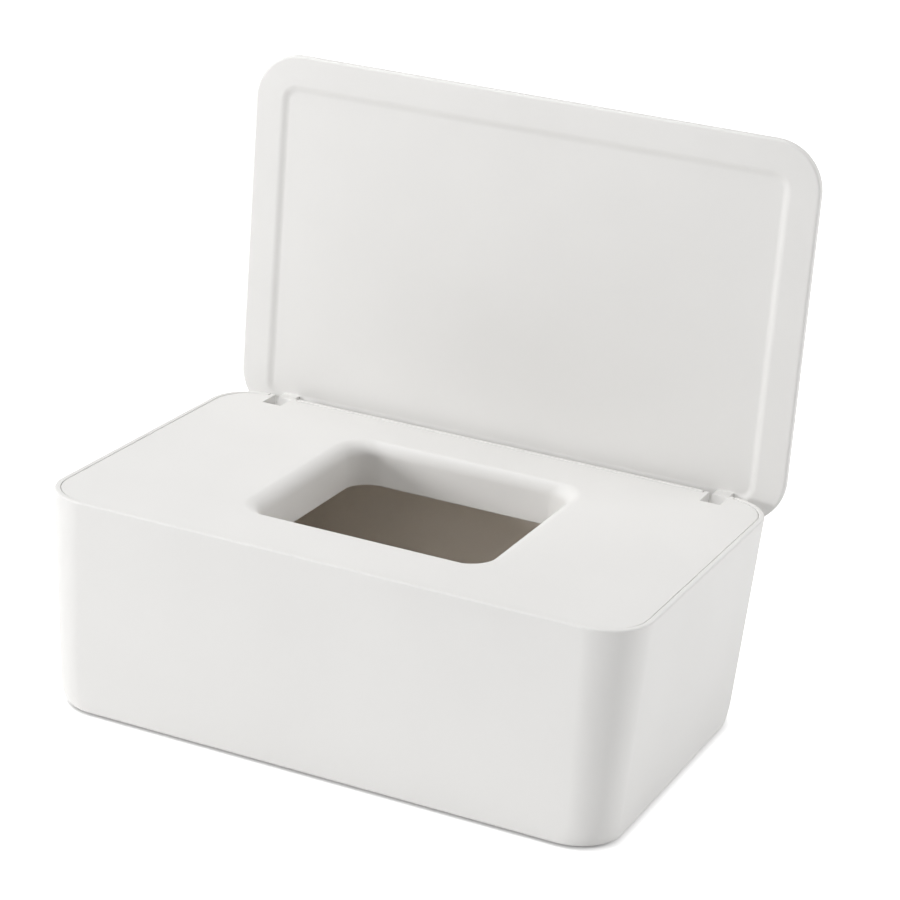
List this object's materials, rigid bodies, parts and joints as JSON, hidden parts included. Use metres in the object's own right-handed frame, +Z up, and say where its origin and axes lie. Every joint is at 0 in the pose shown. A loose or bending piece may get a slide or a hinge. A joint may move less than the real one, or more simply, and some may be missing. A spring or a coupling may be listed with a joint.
{
  "type": "wipes container",
  "caption": "Low rounded rectangular box with a drop-in deck that has a soft-edged dispensing mouth, and a flat rear-hinged lid shown standing open.",
  "frame": {"origin": "middle of the box's footprint, on the plane that the feet stand on", "axes": "+Z up, +X to the right as seen from the front, +Y towards the rear, where the lid is hinged"},
  "size_m": [0.19, 0.1302, 0.1815],
  "materials": {
    "white_shell": "fine matte moulded ABS, very slightly warm white",
    "silicone": "matte translucent white silicone rubber",
    "pin_steel": "drawn stainless steel"
  },
  "bodies": {
    "box": {"box": "white_shell", "front_left_foot": "silicone", "front_right_foot": "silicone", "rear_left_foot": "silicone", "rear_right_foot": "silicone"},
    "deck": {"deck": "white_shell", "deck_seal": "silicone", "left_hinge_pin": "pin_steel", "right_hinge_pin": "pin_steel"},
    "lid": {"lid": "white_shell"}
  },
  "joints": [
    {"name": "deck_lift", "type": "slide", "parent": "box", "child": "deck", "axis": [0, 0, 1], "range_m": [0, 0.08]},
    {"name": "lid_hinge", "type": "hinge", "parent": "deck", "child": "lid", "pos_m": [0, 0.058, 0.0625], "axis": [1, 0, 0], "range_deg": [0, 90]}
  ]
}
